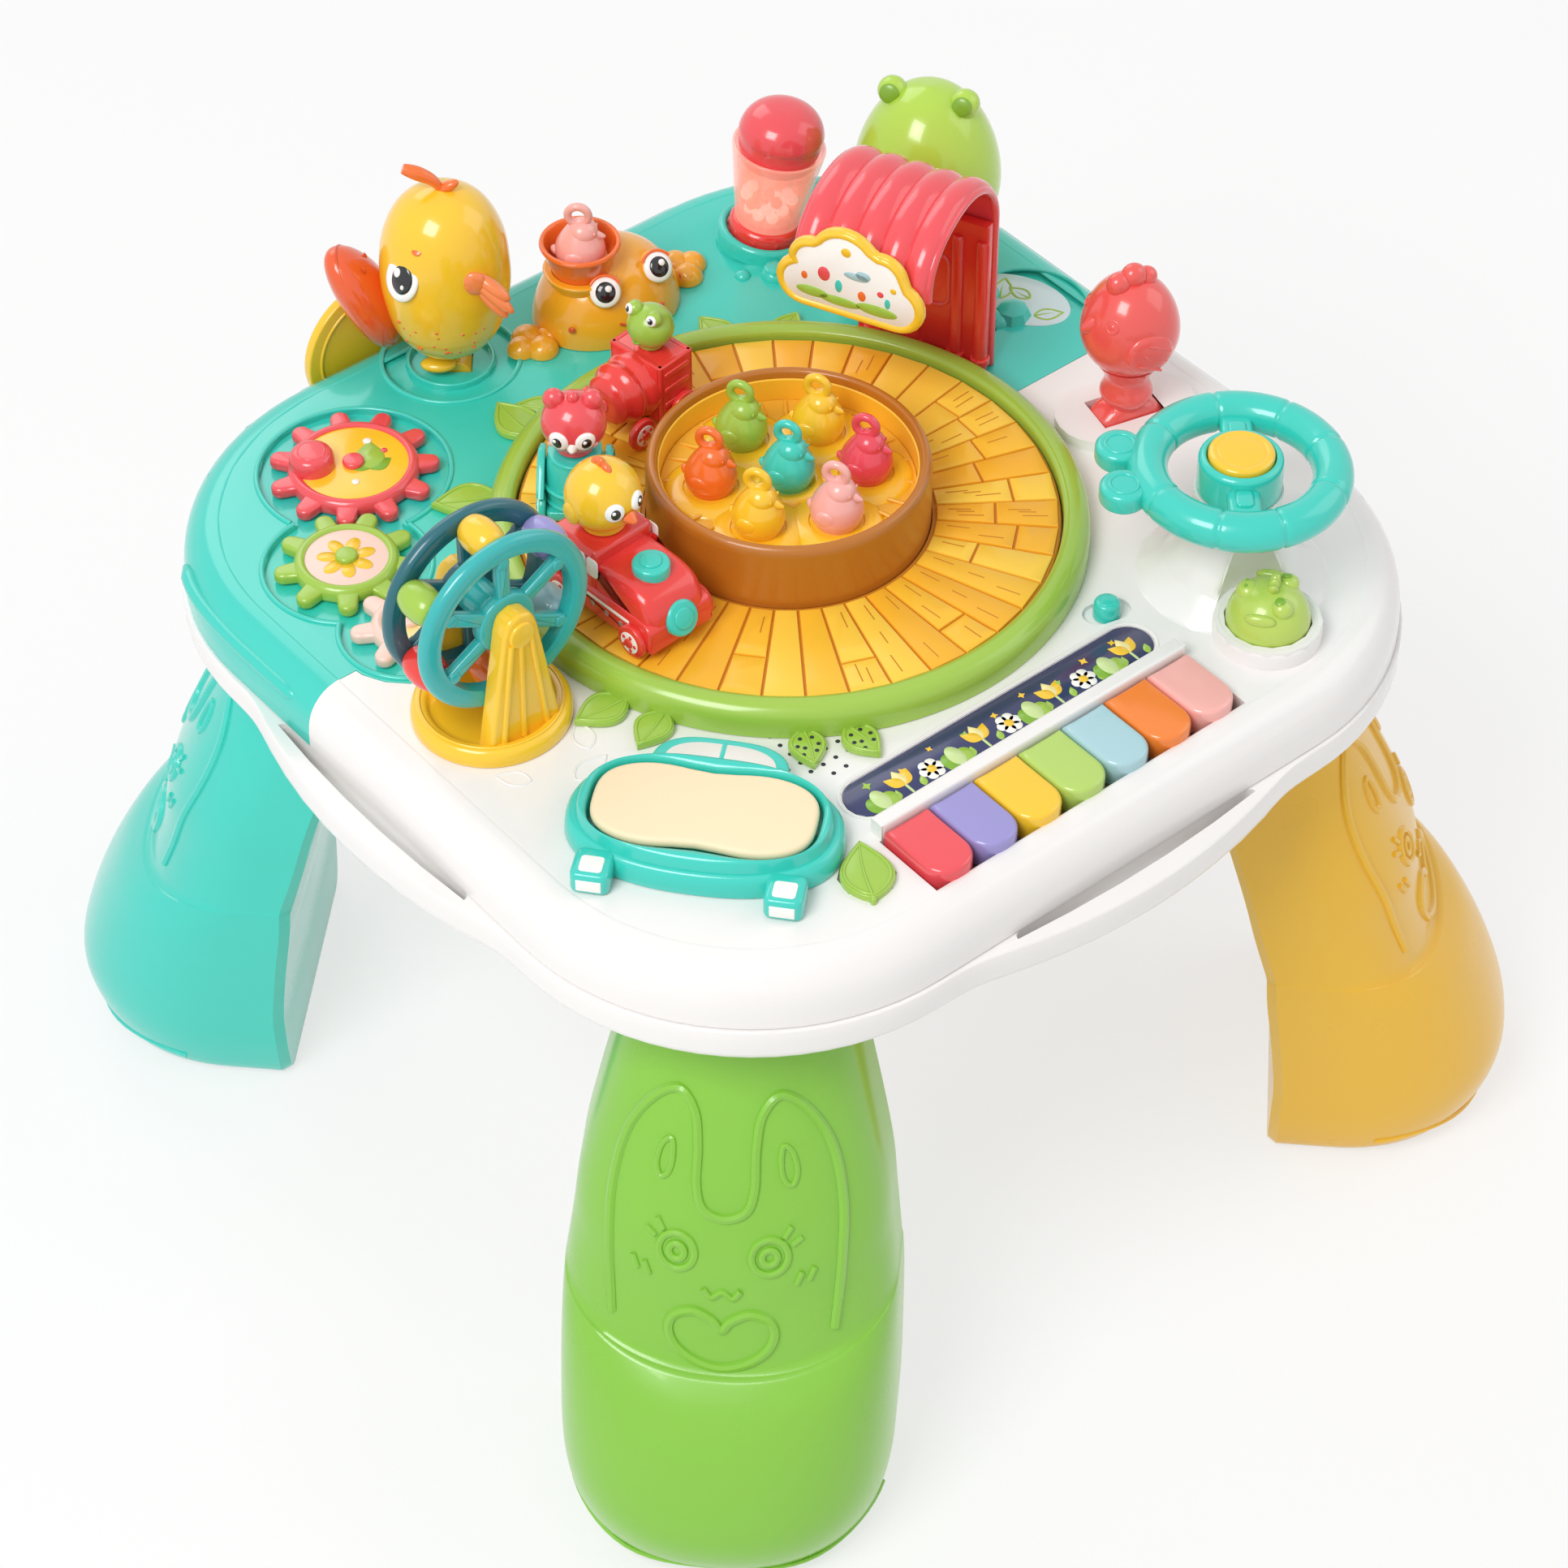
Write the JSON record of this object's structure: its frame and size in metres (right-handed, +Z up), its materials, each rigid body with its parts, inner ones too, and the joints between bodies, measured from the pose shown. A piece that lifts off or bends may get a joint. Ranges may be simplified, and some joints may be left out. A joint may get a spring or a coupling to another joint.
{
  "type": "musical activity table",
  "caption": "Rounded square toddler activity table on flared legs, with a train on a turntable, piano keys, drum pad, meshing gears, levers, steering wheel and a spinning wheel.",
  "frame": {"origin": "on the floor, midway between the four feet, under the centre of the turntable", "axes": "+Z up; the piano keys face -Y; the steering wheel is toward +X; the duck and gears are toward -X"},
  "size_m": [0.4732, 0.4732, 0.385],
  "materials": {
    "white": "satin moulded",
    "teal": "glossy moulded",
    "lime": "satin moulded",
    "leg_green": "satin moulded",
    "mustard": "satin moulded",
    "tile": "satin moulded",
    "drum_brown": "satin moulded",
    "dish": "satin moulded",
    "yellow": "glossy moulded",
    "orange": "glossy moulded",
    "red": "glossy moulded",
    "coral": "glossy moulded",
    "pink": "glossy moulded",
    "rose": "glossy moulded",
    "purple": "satin moulded",
    "sky": "satin moulded",
    "beige": "soft matte",
    "clear": "clear",
    "board": "circuit board",
    "speaker_black": "paper cone and steel frame"
  },
  "bodies": {
    "case": {"lower_case": "white", "upper_case": "white", "teal_cover": "teal", "leg_back_right": "orange", "leg_back_left": "teal", "leg_front_left": "leg_green", "leg_front_right": "mustard", "track_rim": "lime", "centre_drum": "drum_brown", "petal_dish": "dish", "station_wall": "red", "station_roof": "coral", "cloud_sign": "yellow", "sorter_frog": "yellow", "sorter_bowl": "orange", "popper_base": "red", "popper_tube": "clear", "pad_frame": "teal", "spin_stand": "yellow", "side_disc": "yellow", "battery_door": "white", "speaker_unit": "speaker_black", "circuit_board": "board"},
    "turntable": {"turntable": "tile", "locomotive": "red", "chick_head": "yellow", "tender_wagon": "teal", "owl_head": "coral", "barrel_wagon": "red", "frog_head": "lime"},
    "duck": {"duck_lever": "yellow", "duck_beak": "orange"},
    "figure_teal": {"figure_teal": "teal"},
    "figure_yellow": {"figure_yellow": "yellow"},
    "figure_green": {"figure_green": "lime"},
    "figure_orange": {"figure_orange": "orange"},
    "figure_amber": {"figure_amber": "yellow"},
    "figure_pink": {"figure_pink": "pink"},
    "figure_rose": {"figure_rose": "rose"},
    "key_1": {"key_1": "coral"},
    "key_2": {"key_2": "purple"},
    "key_3": {"key_3": "yellow"},
    "key_4": {"key_4": "lime"},
    "key_5": {"key_5": "sky"},
    "key_6": {"key_6": "orange"},
    "key_7": {"key_7": "pink"},
    "leaf_button": {"leaf_button": "lime"},
    "drum_pad": {"drum_pad": "beige"},
    "steering_wheel": {"steering_wheel": "teal"},
    "horn_button": {"horn_button": "yellow"},
    "roller_ball": {"roller_ball": "lime"},
    "power_slider": {"power_slider": "teal"},
    "shift_lever": {"shift_lever": "coral"},
    "bear_lever": {"bear_lever": "lime"},
    "popper_cap": {"popper_cap": "coral"},
    "bowl_figure": {"bowl_figure": "pink"},
    "gear_red": {"gear_red": "coral"},
    "gear_lime": {"gear_lime": "lime"},
    "gear_pink": {"gear_pink": "pink"},
    "spin_wheel": {"spin_wheel": "teal"}
  },
  "joints": [
    {"name": "turntable_spin", "type": "hinge", "parent": "case", "child": "turntable", "pos_m": [0, 0, 0.288], "axis": [0, 0, 1], "continuous": true},
    {"name": "spin_wheel_turn", "type": "hinge", "parent": "case", "child": "spin_wheel", "pos_m": [-0.152, -0.009, 0.3333], "axis": [0, 1, 0], "continuous": true},
    {"name": "steering_turn", "type": "hinge", "parent": "case", "child": "steering_wheel", "pos_m": [0.117, -0.129, 0.33], "axis": [0, 0, 1], "range_deg": [-100, 100]},
    {"name": "horn_press", "type": "slide", "parent": "steering_wheel", "child": "horn_button", "axis": [0, 0, 1], "range_m": [-0.0015, 0], "stiffness_N_per_m": 150, "springref_m": 0.002},
    {"name": "shift_lever_swing", "type": "hinge", "parent": "case", "child": "shift_lever", "pos_m": [0.149, -0.033, 0.271], "axis": [0.2419, 0.9703, 0], "range_deg": [-18, 18]},
    {"name": "duck_swing", "type": "hinge", "parent": "case", "child": "duck", "pos_m": [-0.04, 0.17, 0.271], "axis": [-0.6293, -0.7771, 0], "range_deg": [-12, 5]},
    {"name": "bear_swing", "type": "hinge", "parent": "case", "child": "bear_lever", "pos_m": [0.158, 0.101, 0.271], "axis": [-0.5386, 0.8426, 0], "range_deg": [-15, 15]},
    {"name": "popper_press", "type": "slide", "parent": "case", "child": "popper_cap", "axis": [0.1066, -0.0895, 0.9903], "range_m": [-0.0047, 0], "stiffness_N_per_m": 150, "springref_m": 0.003},
    {"name": "gear_red_turn", "type": "hinge", "parent": "case", "child": "gear_red", "pos_m": [-0.112, 0.137, 0.28], "axis": [0, 0, 1], "continuous": true},
    {"name": "gear_lime_turn", "type": "hinge", "parent": "case", "child": "gear_lime", "pos_m": [-0.14669, 0.0926, 0.28], "axis": [0, 0, 1], "continuous": true},
    {"name": "gear_pink_turn", "type": "hinge", "parent": "case", "child": "gear_pink", "pos_m": [-0.14905, 0.04759, 0.28], "axis": [0, 0, 1], "continuous": true},
    {"name": "roller_ball_turn", "type": "hinge", "parent": "case", "child": "roller_ball", "pos_m": [0.103, -0.163, 0.286], "axis": [0, 0, 1], "continuous": true},
    {"name": "power_switch", "type": "slide", "parent": "case", "child": "power_slider", "axis": [0.9703, -0.2419, 0], "range_m": [-0.004, 0.004]},
    {"name": "drum_pad_press", "type": "slide", "parent": "case", "child": "drum_pad", "axis": [0, 0, 1], "range_m": [-0.0017, 0], "stiffness_N_per_m": 200, "springref_m": 0.002},
    {"name": "key_1_press", "type": "hinge", "parent": "case", "child": "key_1", "pos_m": [-0.0721, -0.1568, 0.27], "axis": [1, 0, 0], "range_deg": [0, 3], "stiffness_Nm_per_rad": 0.1, "springref_deg": -2.86},
    {"name": "key_2_press", "type": "hinge", "parent": "case", "child": "key_2", "pos_m": [-0.0504, -0.1568, 0.27], "axis": [1, 0, 0], "range_deg": [0, 3], "stiffness_Nm_per_rad": 0.1, "springref_deg": -2.86},
    {"name": "key_3_press", "type": "hinge", "parent": "case", "child": "key_3", "pos_m": [-0.0287, -0.1568, 0.27], "axis": [1, 0, 0], "range_deg": [0, 3], "stiffness_Nm_per_rad": 0.1, "springref_deg": -2.86},
    {"name": "key_4_press", "type": "hinge", "parent": "case", "child": "key_4", "pos_m": [-0.007, -0.1568, 0.27], "axis": [1, 0, 0], "range_deg": [0, 3], "stiffness_Nm_per_rad": 0.1, "springref_deg": -2.86},
    {"name": "key_5_press", "type": "hinge", "parent": "case", "child": "key_5", "pos_m": [0.0147, -0.1568, 0.27], "axis": [1, 0, 0], "range_deg": [0, 3], "stiffness_Nm_per_rad": 0.1, "springref_deg": -2.86},
    {"name": "key_6_press", "type": "hinge", "parent": "case", "child": "key_6", "pos_m": [0.0364, -0.1568, 0.27], "axis": [1, 0, 0], "range_deg": [0, 3], "stiffness_Nm_per_rad": 0.1, "springref_deg": -2.86},
    {"name": "key_7_press", "type": "hinge", "parent": "case", "child": "key_7", "pos_m": [0.0581, -0.1568, 0.27], "axis": [1, 0, 0], "range_deg": [0, 3], "stiffness_Nm_per_rad": 0.1, "springref_deg": -2.86},
    {"name": "leaf_button_press", "type": "slide", "parent": "case", "child": "leaf_button", "axis": [0, 0, 1], "range_m": [-0.0012, 0], "stiffness_N_per_m": 100, "springref_m": 0.002},
    {"name": "figure_teal_lift", "type": "slide", "parent": "case", "child": "figure_teal", "axis": [0, 0, 1], "range_m": [0, 0.05]},
    {"name": "figure_yellow_lift", "type": "slide", "parent": "case", "child": "figure_yellow", "axis": [0, 0, 1], "range_m": [0, 0.05]},
    {"name": "figure_green_lift", "type": "slide", "parent": "case", "child": "figure_green", "axis": [0, 0, 1], "range_m": [0, 0.05]},
    {"name": "figure_orange_lift", "type": "slide", "parent": "case", "child": "figure_orange", "axis": [0, 0, 1], "range_m": [0, 0.05]},
    {"name": "figure_amber_lift", "type": "slide", "parent": "case", "child": "figure_amber", "axis": [0, 0, 1], "range_m": [0, 0.05]},
    {"name": "figure_pink_lift", "type": "slide", "parent": "case", "child": "figure_pink", "axis": [0, 0, 1], "range_m": [0, 0.05]},
    {"name": "figure_rose_lift", "type": "slide", "parent": "case", "child": "figure_rose", "axis": [0, 0, 1], "range_m": [0, 0.05]},
    {"name": "bowl_figure_lift", "type": "slide", "parent": "case", "child": "bowl_figure", "axis": [0, 0, 1], "range_m": [0, 0.05]}
  ],
  "couplings": [
    {"joint": "gear_lime_turn", "follows": "gear_red_turn", "ratio": -1.2222},
    {"joint": "gear_pink_turn", "follows": "gear_red_turn", "ratio": 1.5714}
  ]
}
